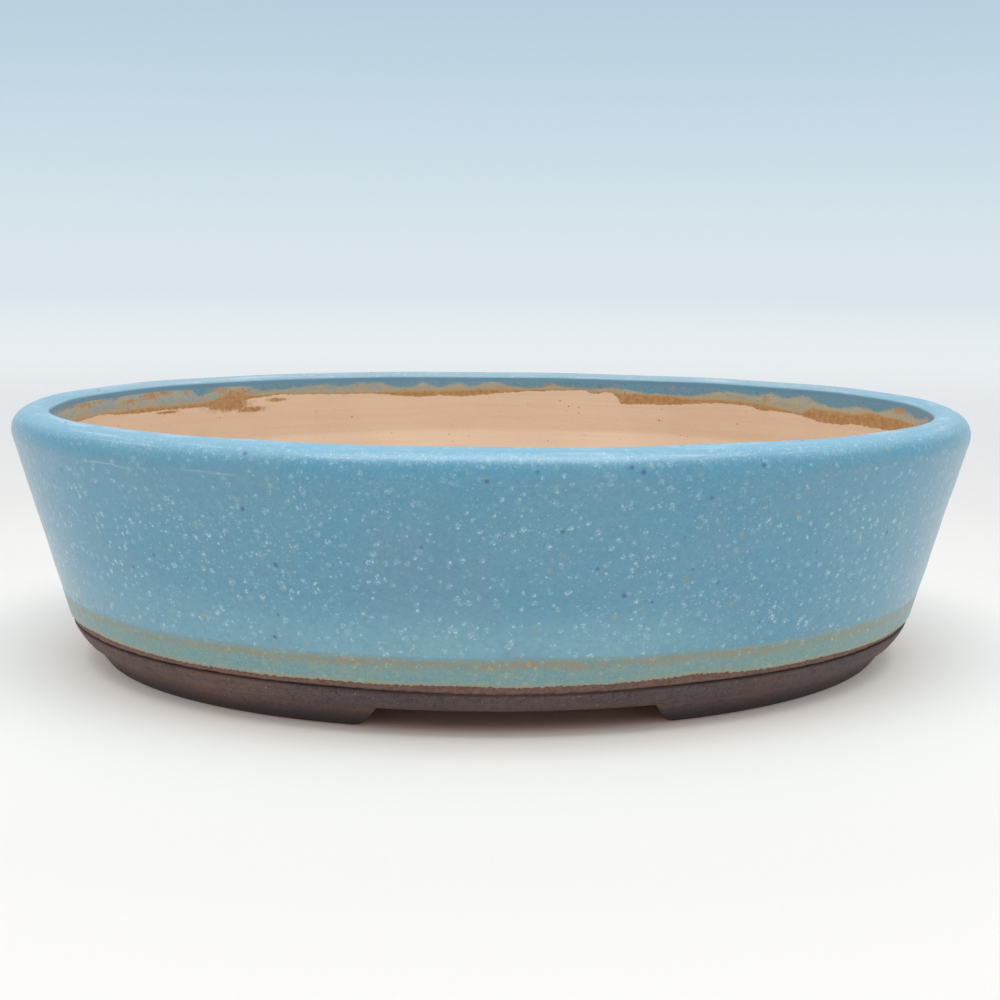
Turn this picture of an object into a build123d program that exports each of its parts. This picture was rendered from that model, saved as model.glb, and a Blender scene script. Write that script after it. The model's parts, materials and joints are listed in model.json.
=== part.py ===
from build123d import *
from math import cos, radians, sin, sqrt, tan
import os

# Oval stoneware bonsai pot, slab built: a floor slab with drain and tie-wire holes,
# a leaning wall luted onto it, a rounded rim coil, a coil pressed into the inner seam,
# two C-shaped feet, and three coats of glaze. Millimetres, +Z up. The origin is on the
# table, at the centre of the oval; X runs along the length and Y along the depth.
# Every section is drawn by its inset: the distance in from the rim's widest outline.

# Overall size
RIM_LENGTH = 360.0          # across the widest part of the rim, along X
RIM_DEPTH = 280.0           # across the widest part of the rim, along Y
HEIGHT = 95.0               # table to the crest of the rim

# Rim: one round coil, with an upright inner face
RIM_RADIUS = 8.0            # of the rounded top, over the glaze
RIM_WIDTH = 13.4            # widest outline to the inner face, over the glaze
RIM_JOINT_Z = 78.0          # where the coil sits on the wall
RIM_EDGE_ROUND = 0.5        # softened corner between the top and the inner face

# Wall
WALL_LEAN = 14.6            # degrees from upright, widening upwards
WALL_WIDTH = 7.4            # of the clay, measured level
SEAM_CHAMFER = 0.8          # on each side of the groove between wall and floor slab

# Floor slab
FOOT_HEIGHT = 9.0
SLAB_THICKNESS = 7.3
SLAB_EDGE_DROP_IN = 4.4     # how far the slab's rounded edge comes in over its height
SLAB_EDGE_BULGE = 0.3       # of the same edge, out from the straight line
SLAB_EDGE_ROUND = 0.8       # lower corner of that edge
SLAB_BLANK_MARGIN = 5.0     # extra width on the slab before its edge is shaped

# Drain holes and tie-wire holes
DRAIN_RADIUS = 11.0
DRAIN_SPACING = 150.0
DRAIN_CHAMFER = 0.8
WIRE_RADIUS = 2.5
WIRE_SPACING_X = 150.0
WIRE_SPACING_Y = 100.0

# Feet: one oval ring, opened at the front and the back
FOOT_TOP_INSET = 24.5
FOOT_BOTTOM_INSET = 30.4
FOOT_TOP_WIDTH = 22.0
FOOT_BOTTOM_WIDTH = 13.5
FOOT_ROUND = 1.2
GAP_TOP_WIDTH = 89.0
GAP_BOTTOM_WIDTH = 100.0
GAP_ROUND = 3.5             # lower corners of the foot's four ends

# Coil pressed into the corner between wall and floor slab
SEAM_COIL_REACH = 8.0       # along the floor and up the wall
SEAM_COIL_LIP = 0.5         # blunt thickness of its two thin edges
SEAM_COIL_HOLLOW = 1.9      # how far its face dips in

# Glaze
GLAZE = 0.6                 # thickness of the outer coat and the lip coat
GLAZE_EDGE_Z = 18.6         # lowest line of the glaze on the outside
BAND_TOP_Z = 28.4           # upper edge of the base band
BAND_GLAZE = 0.75           # thickness of the base band, two coats over each other
BAND_ROUND = 0.45
LIP_TOP_Z = 91.0            # where the outer coat, wrapped over the rim, gives way to it
LIP_EDGE_Z = 85.5           # lowest line of the glaze inside the rim

# Derived
HALF_LENGTH = RIM_LENGTH / 2
HALF_DEPTH = RIM_DEPTH / 2
WIDEST_Z = HEIGHT - RIM_RADIUS
SLAB_TOP_Z = FOOT_HEIGHT + SLAB_THICKNESS
LEAN = radians(WALL_LEAN)
TANGENT_INSET = RIM_RADIUS * (1 - cos(LEAN))
TANGENT_Z = WIDEST_Z - RIM_RADIUS * sin(LEAN)
CLAY_INNER_INSET = RIM_WIDTH - GLAZE
OUTLINE = Wire([Edge.make_ellipse(HALF_LENGTH, HALF_DEPTH)])


def at(inset, z):
    """A point of the section plane at the +X end of the oval."""
    return Vector(HALF_LENGTH - inset, 0, z)


def face_of(*edges):
    """A flat section face from its boundary edges, in order."""
    return Face(Wire(edges))


def polygon(*points):
    """A flat section face with straight sides, from (inset, z) corners."""
    return Face(Wire.make_polygon([at(*point) for point in points], close=True))


def bowed(start, end, rise):
    """An arc in the section plane, its middle raised to the left of start-to-end."""
    along = (end - start).normalized()
    return ThreePointArc(start, (start + end) / 2 + Vector(-along.Z, 0, along.X) * rise, end)


def ring(section):
    """Carry a section once around the oval, square to the outline."""
    return Solid(sweep(section, path=OUTLINE, is_frenet=True).wrapped)


def lean_inset(z, depth=0.0):
    """Inset of the leaning wall's outside at height z, that far under the glaze."""
    return TANGENT_INSET + (TANGENT_Z - z) * tan(LEAN) + depth / cos(LEAN)


def wall_inner_inset(z):
    """Inset of the wall's inner face: leaning like the outside, then upright."""
    return max(lean_inset(z, GLAZE) + WALL_WIDTH, CLAY_INNER_INSET)


def rim_point(radius, degrees):
    """A point on the rim's round top; 0 degrees faces out, 90 is the crest."""
    angle = radians(degrees)
    return at(RIM_RADIUS - radius * cos(angle), WIDEST_Z + radius * sin(angle))


def rim_inner_corner(radius, inset):
    """Where the round top of that radius meets an upright face at that inset."""
    return at(inset, WIDEST_Z + sqrt(radius**2 - (inset - RIM_RADIUS) ** 2))


def rim_top(radius, inset):
    """The round top, from where the wall runs into it to its inner corner."""
    return ThreePointArc(
        rim_point(radius, -WALL_LEAN), rim_point(radius, 90), rim_inner_corner(radius, inset)
    )


def floor_slab():
    blank = extrude(
        Pos(0, 0, FOOT_HEIGHT)
        * Ellipse(
            HALF_LENGTH - lean_inset(SLAB_TOP_Z) + SLAB_BLANK_MARGIN,
            HALF_DEPTH - lean_inset(SLAB_TOP_Z) + SLAB_BLANK_MARGIN,
        ),
        SLAB_THICKNESS,
    )
    # Section of what is trimmed away: everything outside the rounded edge.
    top = lean_inset(SLAB_TOP_Z, GLAZE)
    shoulder = at(top, SLAB_TOP_Z - SEAM_CHAMFER)
    bottom = at(top + SLAB_EDGE_DROP_IN - SLAB_EDGE_ROUND, FOOT_HEIGHT + SLAB_EDGE_ROUND / 3)
    underside = at(top + SLAB_EDGE_DROP_IN, FOOT_HEIGHT)
    over, under = SLAB_TOP_Z + SEAM_CHAMFER, FOOT_HEIGHT - SEAM_CHAMFER
    outside = top - 2 * SLAB_BLANK_MARGIN
    trim = face_of(
        Line(at(top + 2 * SEAM_CHAMFER, over), shoulder),
        bowed(shoulder, bottom, SLAB_EDGE_BULGE),
        Line(bottom, underside),
        Line(underside, at(top + SLAB_EDGE_DROP_IN, under)),
        Line(at(top + SLAB_EDGE_DROP_IN, under), at(outside, under)),
        Line(at(outside, under), at(outside, over)),
        Line(at(outside, over), at(top + 2 * SEAM_CHAMFER, over)),
    )
    slab = blank - ring(trim)
    middle = FOOT_HEIGHT + SLAB_THICKNESS / 2
    for x in (-DRAIN_SPACING / 2, DRAIN_SPACING / 2):
        slab -= Pos(x, 0, middle) * Cylinder(DRAIN_RADIUS, 2 * SLAB_THICKNESS)
        for z, lower, upper in (
            (FOOT_HEIGHT, DRAIN_RADIUS + DRAIN_CHAMFER, DRAIN_RADIUS),
            (SLAB_TOP_Z - DRAIN_CHAMFER, DRAIN_RADIUS, DRAIN_RADIUS + DRAIN_CHAMFER),
        ):
            slab -= Pos(x, 0, z + DRAIN_CHAMFER / 2) * Cone(lower, upper, DRAIN_CHAMFER)
    for place in GridLocations(WIRE_SPACING_X, WIRE_SPACING_Y, 2, 2):
        slab -= Pos(0, 0, middle) * place * Cylinder(WIRE_RADIUS, 2 * SLAB_THICKNESS)
    return slab


def wall():
    outer_foot = lean_inset(SLAB_TOP_Z, GLAZE)
    crease_z = SLAB_TOP_Z + (wall_inner_inset(SLAB_TOP_Z) - CLAY_INNER_INSET) / tan(LEAN)
    return ring(
        polygon(
            (outer_foot + SEAM_CHAMFER, SLAB_TOP_Z),
            (lean_inset(SLAB_TOP_Z + SEAM_CHAMFER, GLAZE), SLAB_TOP_Z + SEAM_CHAMFER),
            (lean_inset(RIM_JOINT_Z, GLAZE), RIM_JOINT_Z),
            (CLAY_INNER_INSET, RIM_JOINT_Z),
            (CLAY_INNER_INSET, crease_z),
            (wall_inner_inset(SLAB_TOP_Z), SLAB_TOP_Z),
        )
    )


def rim():
    radius = RIM_RADIUS - GLAZE
    foot = at(lean_inset(RIM_JOINT_Z, GLAZE), RIM_JOINT_Z)
    inner_foot = at(CLAY_INNER_INSET, RIM_JOINT_Z)
    return ring(
        face_of(
            Line(foot, rim_point(radius, -WALL_LEAN)),
            rim_top(radius, CLAY_INNER_INSET),
            Line(rim_inner_corner(radius, CLAY_INNER_INSET), inner_foot),
            Line(inner_foot, foot),
        )
    )


def seam_coil():
    up = SLAB_TOP_Z + SEAM_COIL_REACH
    corner = at(wall_inner_inset(SLAB_TOP_Z), SLAB_TOP_Z)
    floor_end = at(wall_inner_inset(SLAB_TOP_Z) + SEAM_COIL_REACH, SLAB_TOP_Z)
    wall_end = at(wall_inner_inset(up), up)
    toe = floor_end + Vector(0, 0, SEAM_COIL_LIP)
    head = wall_end - Vector(SEAM_COIL_LIP, 0, 0)
    return ring(
        face_of(
            Line(corner, floor_end),
            Line(floor_end, toe),
            bowed(toe, head, -SEAM_COIL_HOLLOW),
            Line(head, wall_end),
            Line(wall_end, corner),
        )
    )


def feet():
    """The two C-shaped feet, left one first."""
    inner_bottom = FOOT_BOTTOM_INSET + FOOT_BOTTOM_WIDTH
    section = polygon(
        (FOOT_BOTTOM_INSET, 0),
        (FOOT_TOP_INSET, FOOT_HEIGHT),
        (FOOT_TOP_INSET + FOOT_TOP_WIDTH, FOOT_HEIGHT),
        (inner_bottom, 0),
    )
    low_corners = [v for v in section.vertices() if v.Z < FOOT_ROUND]
    section = section.fillet_2d(FOOT_ROUND, low_corners)
    # The sole is swept a little deep and then cut flat, so that it is a true plane.
    sole = polygon(
        (FOOT_BOTTOM_INSET + 2 * FOOT_ROUND, FOOT_HEIGHT / 2),
        (inner_bottom - 2 * FOOT_ROUND, FOOT_HEIGHT / 2),
        (inner_bottom - 2 * FOOT_ROUND, -FOOT_ROUND),
        (FOOT_BOTTOM_INSET + 2 * FOOT_ROUND, -FOOT_ROUND),
    )
    whole = ring((section + sole).face())
    whole -= Pos(0, 0, -FOOT_HEIGHT / 2) * Box(RIM_LENGTH, RIM_DEPTH, FOOT_HEIGHT)
    half_top, half_bottom = GAP_TOP_WIDTH / 2, GAP_BOTTOM_WIDTH / 2
    gap = Face(
        Wire.make_polygon(
            [
                Vector(-half_top, 0, FOOT_HEIGHT),
                Vector(-half_bottom, 0, 0),
                Vector(-GAP_BOTTOM_WIDTH, 0, 0),
                Vector(-GAP_BOTTOM_WIDTH, 0, -FOOT_HEIGHT),
                Vector(GAP_BOTTOM_WIDTH, 0, -FOOT_HEIGHT),
                Vector(GAP_BOTTOM_WIDTH, 0, 0),
                Vector(half_bottom, 0, 0),
                Vector(half_top, 0, FOOT_HEIGHT),
            ],
            close=True,
        )
    )
    ends = [v for v in gap.vertices() if v.Z == 0 and abs(v.X) < GAP_BOTTOM_WIDTH - GAP_ROUND]
    cutter = extrude(gap.fillet_2d(GAP_ROUND, ends), RIM_DEPTH, both=True)
    return (whole - cutter).solids().sort_by(Axis.X)


def glaze_outer():
    """The coat over the wall and the rim, wrapped over the rim's inner corner."""
    inner_radius = RIM_RADIUS - GLAZE
    low_out = at(lean_inset(BAND_TOP_Z), BAND_TOP_Z)
    low_in = at(lean_inset(BAND_TOP_Z, GLAZE), BAND_TOP_Z)
    corner = rim_inner_corner(RIM_RADIUS, RIM_WIDTH)
    clay_corner = rim_inner_corner(inner_radius, CLAY_INNER_INSET)
    section = face_of(
        Line(low_out, rim_point(RIM_RADIUS, -WALL_LEAN)),
        rim_top(RIM_RADIUS, RIM_WIDTH),
        Line(corner, at(RIM_WIDTH, LIP_TOP_Z)),
        Line(at(RIM_WIDTH, LIP_TOP_Z), at(CLAY_INNER_INSET, LIP_TOP_Z)),
        Line(at(CLAY_INNER_INSET, LIP_TOP_Z), clay_corner),
        rim_top(inner_radius, CLAY_INNER_INSET),
        Line(rim_point(inner_radius, -WALL_LEAN), low_in),
        Line(low_in, low_out),
    )
    edge = section.vertices().sort_by_distance(corner)[0]
    return ring(section.fillet_2d(RIM_EDGE_ROUND, [edge]))


def glaze_base_band():
    """The greener band along the foot of the wall, a little proud of the outer coat."""
    proud = GLAZE - BAND_GLAZE
    section = polygon(
        (lean_inset(GLAZE_EDGE_Z, GLAZE), GLAZE_EDGE_Z),
        (lean_inset(GLAZE_EDGE_Z, proud), GLAZE_EDGE_Z),
        (lean_inset(BAND_TOP_Z, proud), BAND_TOP_Z),
        (lean_inset(BAND_TOP_Z, GLAZE), BAND_TOP_Z),
    )
    outer = section.vertices().sort_by(Axis.X)
    return ring(section.fillet_2d(BAND_ROUND, [outer[1], outer[3]]))


def glaze_lip():
    """The coat brushed on inside the rim."""
    return ring(
        polygon(
            (RIM_WIDTH, LIP_TOP_Z),
            (RIM_WIDTH, LIP_EDGE_Z),
            (CLAY_INNER_INSET, LIP_EDGE_Z),
            (CLAY_INNER_INSET, LIP_TOP_Z),
        )
    )


foot_left, foot_right = feet()
NODES = {
    "floor_slab": floor_slab(),
    "wall": wall(),
    "rim": rim(),
    "seam_coil": seam_coil(),
    "foot_left": foot_left,
    "foot_right": foot_right,
    "glaze_outer": glaze_outer(),
    "glaze_base_band": glaze_base_band(),
    "glaze_lip": glaze_lip(),
}

os.makedirs("parts", exist_ok=True)
for name, shape in NODES.items():
    export_step(shape, f"parts/{name}.step")
    low, high = shape.bounding_box().min, shape.bounding_box().max
    print(f"{name:16s} {shape.volume:9.0f} mm3  solids {len(shape.solids())}  valid {shape.is_valid}")
    print(f"  from {low.X:.2f}, {low.Y:.2f}, {low.Z:.2f} to {high.X:.2f}, {high.Y:.2f}, {high.Z:.2f}")
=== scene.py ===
import bpy
import json
import numpy as np
from math import cos, pi, radians, sin, sqrt, tan
from mathutils import Matrix, Vector
from mathutils.geometry import delaunay_2d_cdt


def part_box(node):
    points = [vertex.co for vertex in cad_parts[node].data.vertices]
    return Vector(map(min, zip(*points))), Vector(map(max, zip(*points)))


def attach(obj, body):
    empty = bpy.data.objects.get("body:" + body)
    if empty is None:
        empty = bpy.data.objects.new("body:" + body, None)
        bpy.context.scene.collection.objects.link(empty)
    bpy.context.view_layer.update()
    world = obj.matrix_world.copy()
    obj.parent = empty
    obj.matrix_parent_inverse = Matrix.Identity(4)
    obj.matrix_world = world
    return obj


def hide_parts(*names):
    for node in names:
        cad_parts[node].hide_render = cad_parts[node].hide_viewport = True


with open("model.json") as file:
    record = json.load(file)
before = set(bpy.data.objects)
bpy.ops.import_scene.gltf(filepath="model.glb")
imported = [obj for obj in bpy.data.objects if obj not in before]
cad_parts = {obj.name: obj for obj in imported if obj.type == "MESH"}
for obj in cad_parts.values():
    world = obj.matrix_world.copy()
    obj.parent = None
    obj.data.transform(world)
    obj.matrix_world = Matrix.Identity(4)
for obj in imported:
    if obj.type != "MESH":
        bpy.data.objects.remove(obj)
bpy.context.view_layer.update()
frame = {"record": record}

# The oval pot's own shapes are worked out in millimetres and made into meshes in metres.
# A place on the pot is an angle around the oval (0 at +X, 90 at +Y), an inset (how far in
# from the rim's widest outline, square to it) and a height.
MM = 0.001
SEED = 41


def node_box(name):
    """A CAD node's lowest and highest corners, in millimetres."""
    low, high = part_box(name)
    return [value / MM for value in low], [value / MM for value in high]


(_, _, BAND_TOP_Z), (HALF_LENGTH, HALF_DEPTH, HEIGHT) = node_box("glaze_outer")
(_, _, RIM_JOINT_Z), (CLAY_HALF_LENGTH, _, _) = node_box("rim")
(_, _, LIP_EDGE_Z), (LIP_HALF_LENGTH, _, LIP_TOP_Z) = node_box("glaze_lip")
(_, _, GLAZE_EDGE_Z), _ = node_box("glaze_base_band")
(_, _, SLAB_TOP_Z), _ = node_box("wall")
(_, _, FOOT_HEIGHT), _ = node_box("floor_slab")
_, (FOOT_HALF_LENGTH, _, _) = node_box("foot_right")
(FOOT_GAP_HALF_TOP, _, _), _ = node_box("foot_right")
_, (_, _, COIL_TOP_Z) = node_box("seam_coil")

GLAZE = HALF_LENGTH - CLAY_HALF_LENGTH
RIM_RADIUS = 8.0
LEAN = radians(14.6)
RIM_WIDTH = HALF_LENGTH - LIP_HALF_LENGTH + GLAZE
CLAY_INNER = RIM_WIDTH - GLAZE
WALL_WIDTH = 7.4
WIDEST_Z = HEIGHT - RIM_RADIUS
TANGENT_INSET = RIM_RADIUS * (1 - cos(LEAN))
TANGENT_Z = WIDEST_Z - RIM_RADIUS * sin(LEAN)
SEAM_DIP, SEAM_REACH = 0.8, 75.0

# Heights between which each kind of unevenness comes in, in millimetres.
ROLL_ZONE, RISE_ZONE = (70, 88), (78, 95)
SWAY_ZONE, TWIST_ZONE = (4, 20), (10, 40)
TWIST_LAG = 0.03

rng = np.random.default_rng(SEED)


# ---- shape helpers

def waves(lowest, highest, size):
    """A smooth random function around the oval, made of that range of whole waves."""
    count = np.arange(lowest, highest + 1)
    weight = rng.normal(size=len(count)) * count ** -0.5
    phase = rng.uniform(0, 2 * pi, len(count))
    weight *= size / sqrt((weight ** 2).sum() / 2)

    def value(turn):
        return (weight * np.cos(np.asarray(turn)[..., None] * count + phase)).sum(-1)
    return value


def smooth(low, high, value):
    """0 below low, 1 above high, and a smooth step between."""
    x = np.clip((np.asarray(value) - low) / (high - low), 0, 1)
    return x * x * (3 - 2 * x)


RIM_SWAY = waves(2, 9, 0.16)
RIM_RISE = waves(3, 16, 0.13)
WALL_SWAY = waves(2, 12, 0.09)
WALL_TWIST = waves(3, 14, 0.07)
JOINT_TEAR = waves(20, 300, 1.0)


def place(turn, inset, z):
    """Points in millimetres, with the slight unevenness of hand-pressed clay."""
    turn, inset, z = np.broadcast_arrays(turn, inset, z)
    rim = smooth(*ROLL_ZONE, z)
    out = RIM_SWAY(turn) * rim + WALL_SWAY(turn) * (1 - rim) * smooth(*SWAY_ZONE, z)
    out = out + WALL_TWIST(turn + z * TWIST_LAG) * smooth(*TWIST_ZONE, z) * (1 - rim)
    rise = RIM_RISE(turn) * smooth(*RISE_ZONE, z)
    x, y = HALF_LENGTH * np.cos(turn), HALF_DEPTH * np.sin(turn)
    normal_x, normal_y = HALF_DEPTH * np.cos(turn), HALF_LENGTH * np.sin(turn)
    size = np.hypot(normal_x, normal_y)
    depth = out - inset
    return np.stack((x + depth * normal_x / size, y + depth * normal_y / size, z + rise), -1)


def lean_inset(z, depth=0.0):
    """Inset of the leaning wall's outside at height z, that far under the glaze."""
    return TANGENT_INSET + (TANGENT_Z - z) * tan(LEAN) + depth / cos(LEAN)


def wall_inner_inset(z):
    """Inset of the wall's inside: it leans, and stands upright under the rim's inner corner."""
    return np.maximum(lean_inset(z, GLAZE) + WALL_WIDTH, CLAY_INNER)


def run(start, end, count):
    """Points along a straight run of a section, without its last point."""
    return np.linspace(start, end, count, endpoint=False)


def rim_arc(radius, inner_inset, count):
    """The rim's round top from the wall's tangent to its inner corner."""
    last = pi - np.arccos((inner_inset - RIM_RADIUS) / radius)
    angle = np.linspace(-LEAN, last, count)
    return np.stack((RIM_RADIUS - radius * np.cos(angle), WIDEST_Z + radius * np.sin(angle)), -1)


def new_object(name, data):
    """An object put into the scene."""
    thing = bpy.data.objects.new(name, data)
    bpy.context.scene.collection.objects.link(thing)
    return thing


def finish_mesh(name, points, faces, material, sharp):
    """A smooth-shaded object from points in millimetres, creased where it bends past sharp."""
    mesh = bpy.data.meshes.new(name)
    mesh.from_pydata((np.asarray(points) * MM).tolist(), [], faces)
    mesh.update()
    mesh.shade_smooth()
    mesh.set_sharp_from_angle(angle=radians(sharp))
    mesh.materials.append(material)
    return new_object(name, mesh)


def turned_out(points, quads):
    """The same faces, all flipped if they enclose a negative volume."""
    a, b, c, d = (points[quads[:, k]] for k in range(4))
    volume = (a * (np.cross(b, c) + np.cross(c, d))).sum()
    return quads if volume > 0 else quads[:, ::-1]


def write_field(piece, name, values):
    """Store a value per point that the material reads."""
    store = piece.data.attributes.new(name, "FLOAT", "POINT")
    store.data.foreach_set("value", np.asarray(values, dtype=np.float32).ravel())


def ring_piece(name, turn, inset, z, material, caps=(), sharp=40, **fields):
    """A closed solid from a section loop carried around the oval.

    inset and z are arrays of (steps around, points around the section). With caps, which are
    faces over the section, the ring stays open and they close its two ends. fields are values
    per point that the material reads.
    """
    points = place(turn.reshape(len(turn), -1), inset, z)
    steps, count = points.shape[:2]
    points = points.reshape(-1, 3)
    index = np.arange(steps * count).reshape(steps, count)
    here, there = (index[:-1], index[1:]) if caps else (index, np.roll(index, -1, 0))
    quads = np.stack((here, there, np.roll(there, -1, 1), np.roll(here, -1, 1)), -1).reshape(-1, 4)
    if caps:
        first = np.array(caps)
        quads = np.concatenate((quads, first[:, ::-1], first + (steps - 1) * count))
    piece = finish_mesh(name, points, turned_out(points, quads).tolist(), material, sharp)
    for field, values in fields.items():
        write_field(piece, field, np.broadcast_to(values, (steps, count)))
    return piece


def around(steps):
    """Angles of that many even steps around the oval."""
    return np.linspace(0, 2 * pi, steps, endpoint=False)


# ---- material helpers

class Graph:
    """A node tree being built. Each method adds a node and returns its output."""

    def __init__(self, tree):
        self.tree = tree

    def set(self, node, sockets):
        """Link sockets to nodes' outputs, or give them values: a colour is three numbers."""
        for key, value in sockets.items():
            socket = node.inputs[key]
            if isinstance(value, bpy.types.NodeSocket):
                self.tree.links.new(value, socket)
            elif isinstance(value, tuple) and len(socket.default_value) == 4:
                socket.default_value = (*value, 1)
            else:
                socket.default_value = value

    def add(self, kind, output, sockets, **settings):
        node = self.tree.nodes.new(kind)
        for key, value in settings.items():
            setattr(node, key, value)
        self.set(node, sockets)
        return node.outputs[output]

    def math(self, operation, a, b=0.0):
        return self.add("ShaderNodeMath", 0, {0: a, 1: b}, operation=operation)

    def times(self, product, *others):
        for value in others:
            product = self.math("MULTIPLY", product, value)
        return product

    def plus(self, a, b):
        return self.math("ADD", a, b)

    def minus(self, a, b):
        return self.math("SUBTRACT", a, b)

    def vector(self, operation, *values, output=0):
        return self.add("ShaderNodeVectorMath", output, dict(enumerate(values)), operation=operation)

    def split(self, vector):
        return self.add("ShaderNodeSeparateXYZ", 0, {0: vector}).node.outputs

    def span(self, value, low, high, start=0.0, end=1.0):
        """A smooth step from start, where the value is low, to end, where it is high."""
        return self.add("ShaderNodeMapRange", 0, {0: value, 1: low, 2: high, 3: start, 4: end},
                        interpolation_type="SMOOTHSTEP")


class Paint(Graph):
    """One material's node graph, in the object's own coordinates (metres)."""

    def __init__(self, name, roughness=0.5, coat=0.0, coat_roughness=0.2, specular=0.5):
        self.material = bpy.data.materials.new(name)
        self.material.use_nodes = True
        super().__init__(self.material.node_tree)
        self.shader = self.tree.nodes["Principled BSDF"]
        self.set(self.shader, {"Roughness": roughness, "Coat Weight": coat,
                               "Coat Roughness": coat_roughness, "Specular IOR Level": specular})
        self.where = self.add("ShaderNodeTexCoord", "Object", {})

    def axis(self, index):
        return self.split(self.where)[index]

    def height(self):
        """Height above the table, in millimetres."""
        return self.math("DIVIDE", self.axis(2), MM)

    def stretched(self, x, y, z):
        """The object's coordinates scaled by axis."""
        return self.vector("MULTIPLY", self.where, (x, y, z))

    def noise(self, scale, detail=3.0, roughness=0.55, distortion=0.0, where=None):
        return self.add("ShaderNodeTexNoise", 0, {
            "Vector": where or self.where, "Scale": scale, "Detail": detail,
            "Roughness": roughness, "Distortion": distortion})

    def streaks(self, level, upward, detail, roughness=0.55):
        """Noise drawn out along the oval: its scale level with the table, and its scale upward."""
        return self.noise(1.0, detail, roughness, where=self.stretched(level, level, upward))

    def sway(self, noise, size):
        """Noise turned into a push of up to about half that size either way."""
        return self.times(self.minus(noise, 0.5), size)

    def warped(self, scale, amount):
        """Coordinates pushed about by noise, to make cells and edges irregular."""
        push = self.noise(scale, 2.0, 0.5).node.outputs["Color"]
        scaled = self.vector("MULTIPLY", self.vector("SUBTRACT", push, (0.5, 0.5, 0.5)), (amount,) * 3)
        return self.vector("ADD", self.where, scaled)

    def mix(self, factor, a, b, blend="MIX"):
        return self.add("ShaderNodeMix", 2, {0: factor, 6: a, 7: b}, data_type="RGBA", blend_type=blend)

    def tinted(self, colour, *layers):
        """A colour under layers of (value, low, high, most, tint).

        A layer tints it by up to its most, growing from where its value is low to high.
        """
        for value, low, high, most, tint in layers:
            colour = self.mix(self.span(value, low, high, 0, most), colour, tint)
        return colour

    def dabbed(self, colour, *layers):
        """A colour under layers of (mask, share, tint): that share of the tint where the mask is 1."""
        for mask, share, tint in layers:
            colour = self.mix(self.times(mask, share), colour, tint)
        return colour

    def field(self, name):
        return self.add("ShaderNodeAttribute", "Fac", {}, attribute_name=name)

    def dots(self, size_mm, radius_mm, share, where=None, soft=0.45):
        """Round spots: cells of that size, a share of them holding a spot of that radius."""
        distance = self.add("ShaderNodeTexVoronoi", "Distance",
                            {"Vector": where or self.where, "Scale": 1 / (size_mm * MM)})
        chance = self.split(distance.node.outputs["Color"])
        share_of_cell = radius_mm / size_mm
        reach = self.plus(self.times(chance[1], share_of_cell * 0.7), share_of_cell * 0.5)
        spot = self.span(self.math("DIVIDE", distance, reach), 1.0, soft)
        return self.times(spot, self.math("LESS_THAN", chance[0], share))

    def bump(self, height, distance, strength, normal=None):
        sockets = {"Height": height, "Distance": distance, "Strength": strength}
        if normal is not None:
            sockets["Normal"] = normal
        return self.add("ShaderNodeBump", 0, sockets)

    def done(self, colour, roughness, normal):
        self.set(self.shader, {"Base Color": colour, "Roughness": roughness, "Normal": normal})
        return self.material


# ---- materials

# The height of the clay's and the lip coat's grain, in metres.
CLAY_RELIEF = 0.00012
# The haze behind the table, where the floor and the backdrop meet.
HORIZON = (0.70, 0.79, 0.83)


def speckles(paint, dense):
    """The pale crystals in the glaze: single grains, and clusters of them like snowflakes."""
    where = paint.warped(1500, 0.0010)
    cluster = paint.dots(3.0, 1.25, dense, paint.warped(420, 0.0016), soft=0.5)
    cluster = paint.times(cluster, paint.span(paint.noise(24, 2), 0.28, 0.58, 0.6, 1.0))
    grains = paint.dots(0.85, 0.56, 0.95, where, soft=0.35)
    fleck = paint.times(cluster, paint.span(grains, 0.0, 1.0, 0.18, 1.0))
    small = paint.dots(1.4, 0.46, 0.75, where, soft=0.3)
    small = paint.times(small, paint.span(paint.noise(41, 2), 0.36, 0.6, 0.15, 1.0))
    return paint.math("MAXIMUM", fleck, paint.times(small, 0.55))


def spots(paint, colour):
    """The glaze's odd blue, ochre and pin-hole spots over a colour."""
    blue = paint.dots(8.5, 1.15, 0.7, paint.warped(500, 0.0008), soft=0.2)
    colour = paint.dabbed(colour, (blue, 0.8, (0.05, 0.105, 0.26)))
    shifted = paint.vector("ADD", paint.where, (0.31, 0.17, 0.05))
    # Ochre halo, rusty middle and pin-hole of the same spots.
    for radius, share, soft, most, tint in ((1.35, 0.75, 0.1, 0.6, (0.35, 0.36, 0.19)),
                                            (0.55, 0.4, 0.3, 0.8, (0.42, 0.21, 0.07)),
                                            (0.22, 0.4, 0.5, 0.7, (0.10, 0.06, 0.03))):
        spot = paint.dots(7.6, radius, share, shifted, soft)
        colour = paint.dabbed(colour, (spot, most, tint))
    return colour, spot


def rust_colour(paint, fine):
    """The rust's two browns."""
    return paint.mix(paint.span(fine, 0.3, 0.7), (0.54, 0.325, 0.140), (0.40, 0.205, 0.072))


def rusted(paint, colour, fine, most, broken=1.3):
    """Rusty patches, broken up by noise at two scales, with a yellower fringe."""
    ragged = paint.plus(paint.sway(paint.noise(210, 4, 0.7), broken), paint.sway(fine, 0.7 * broken))
    patch = paint.plus(paint.field("stain"), ragged)
    return paint.tinted(colour, (patch, -0.3, 0.25, 0.5 * most, (0.47, 0.36, 0.21)),
                        (patch, 0.05, 0.5, most, rust_colour(paint, fine)))


def inner_blue(paint, broad):
    """The darker blue inside the rim."""
    return paint.mix(broad, (0.093, 0.250, 0.385), (0.152, 0.350, 0.485))


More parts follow.
